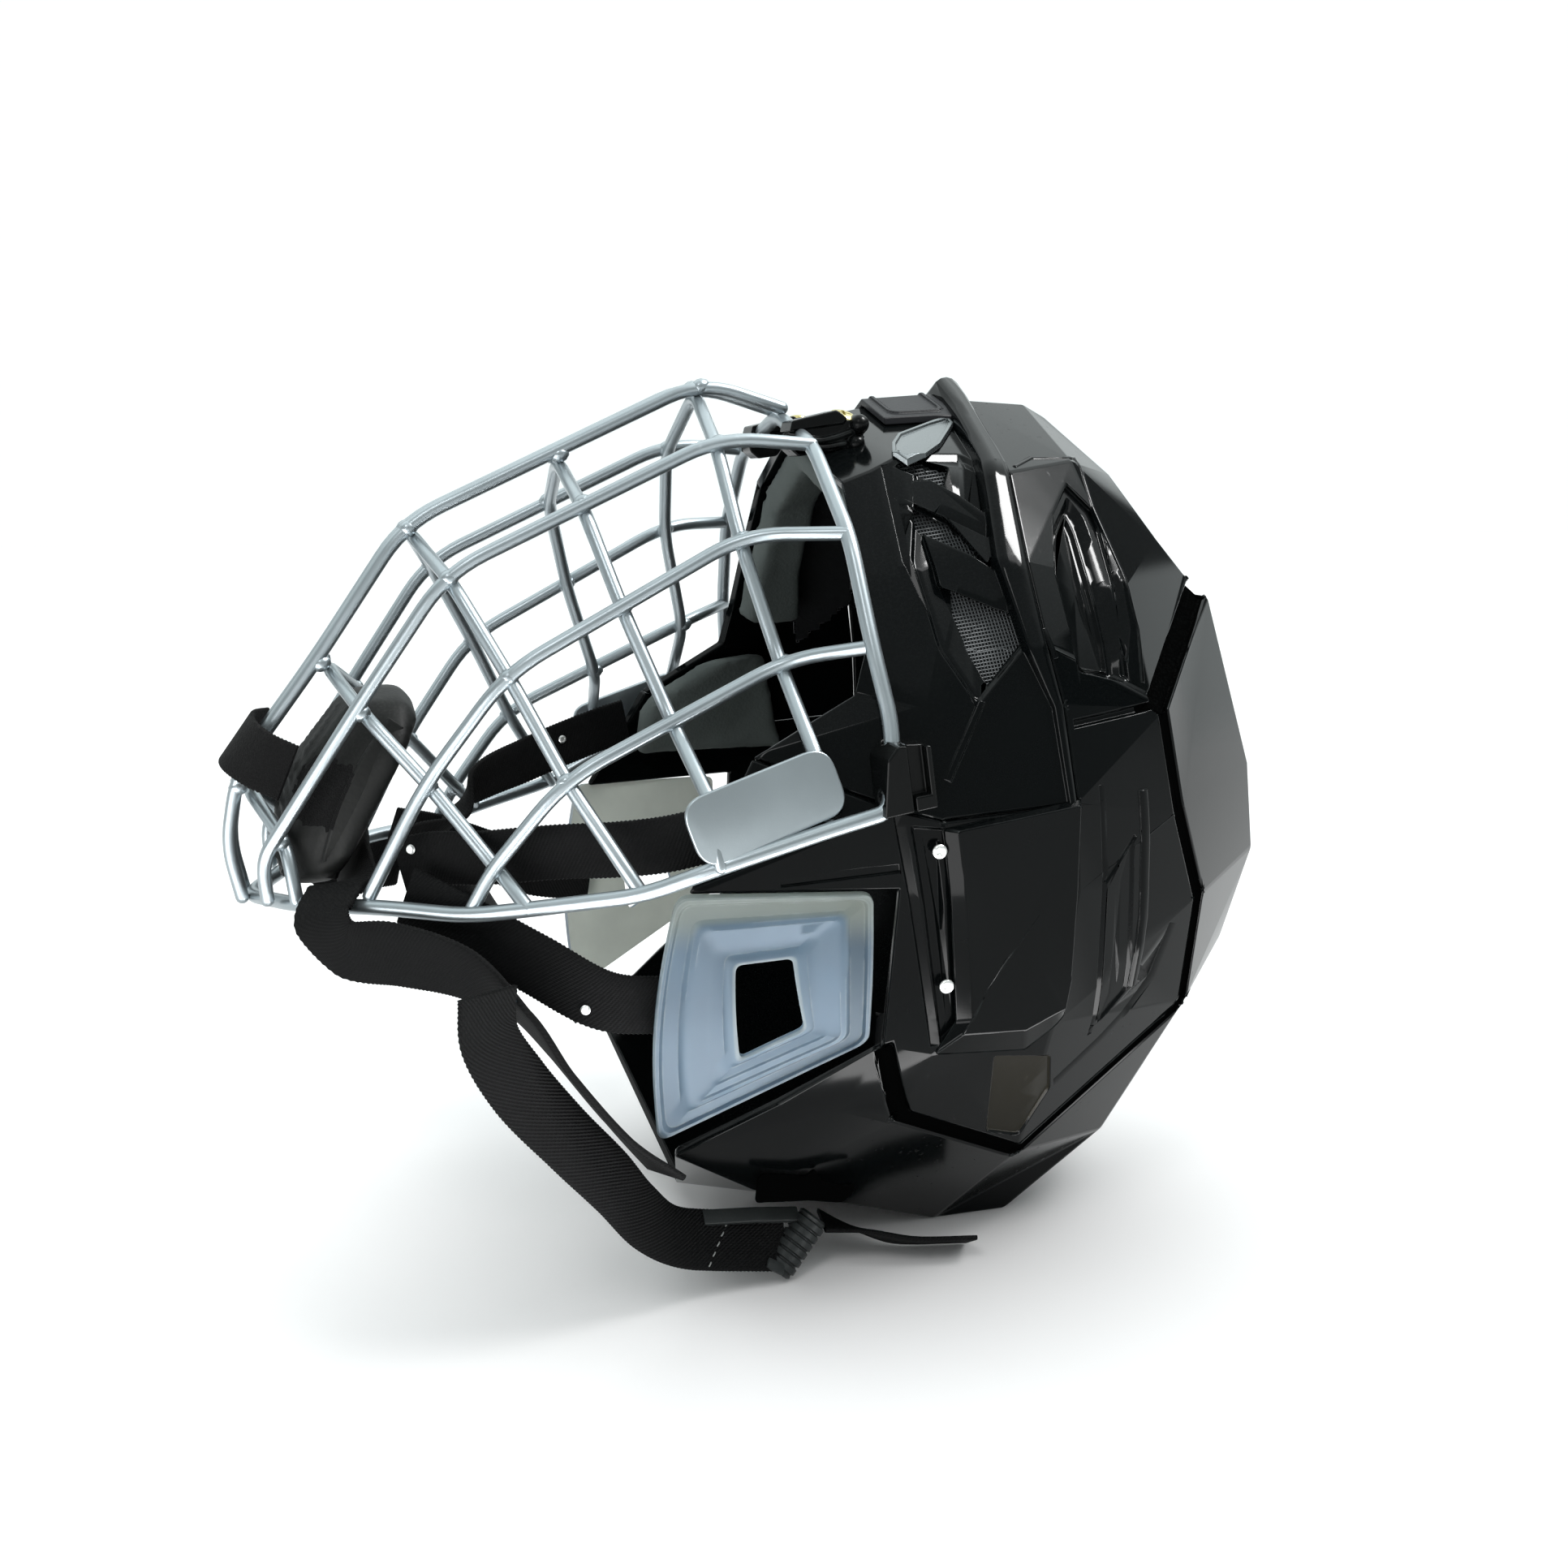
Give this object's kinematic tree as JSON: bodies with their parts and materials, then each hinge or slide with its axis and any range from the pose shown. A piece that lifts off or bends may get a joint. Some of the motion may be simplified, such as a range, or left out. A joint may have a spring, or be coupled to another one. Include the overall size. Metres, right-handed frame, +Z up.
{
  "type": "ice hockey helmet with wire face cage",
  "caption": "Faceted black ice hockey helmet lying on its back, with a silver wire face cage, chin cup, clear ear guards and a strapped harness with a ladder buckle.",
  "frame": {"origin": "middle of the footprint on the floor that the helmet lies on", "axes": "+X towards the crown of the helmet, +Y towards the wearer's right side, +Z up, with the face cage facing up"},
  "size_m": [0.3314, 0.202, 0.2675],
  "materials": {
    "gloss_shell": "high gloss black moulded plastic",
    "satin_shell": "satin black moulded plastic",
    "vent_mesh": "fine grey mesh",
    "bright_trim": "bright",
    "brass": "satin",
    "cage_wire": "satin silver-grey light alloy wire",
    "ear_guard": "cloudy translucent plastic",
    "liner_foam": "matte closed-cell foam",
    "cup_foam": "matte padded foam",
    "webbing": "woven black webbing"
  },
  "bodies": {
    "root": {"adjust_strap": "webbing", "brow_badge": "satin_shell", "brow_foam": "liner_foam", "brow_trim_left": "bright_trim", "brow_trim_right": "bright_trim", "cage": "cage_wire", "cage_strap_left": "satin_shell", "cage_strap_right": "satin_shell", "chin_cup": "cup_foam", "chin_cup_tab": "webbing", "chin_strap": "webbing", "crown_pad": "liner_foam", "ear_guard_left": "ear_guard", "ear_guard_right": "ear_guard", "far_strap_snap": "bright_trim", "forehead_clip_left": "satin_shell", "forehead_clip_right": "satin_shell", "forehead_screw_left": "brass", "forehead_screw_right": "brass", "front_shell": "gloss_shell", "harness_snap": "bright_trim", "nape_pad": "liner_foam", "rear_shell": "satin_shell", "rear_strap_left": "webbing", "rear_strap_right": "webbing", "rear_strap_snap": "bright_trim", "side_clip_left": "satin_shell", "side_clip_right": "satin_shell", "side_panel_left": "gloss_shell", "side_panel_right": "gloss_shell", "slot_screw_lower_left": "bright_trim", "slot_screw_lower_right": "bright_trim", "slot_screw_upper_left": "bright_trim", "slot_screw_upper_right": "bright_trim", "strap_buckle": "satin_shell", "strap_tail": "webbing", "temple_pad_left": "liner_foam", "temple_pad_right": "liner_foam", "vent_mesh_left": "vent_mesh", "vent_mesh_right": "vent_mesh"}
  },
  "joints": []
}
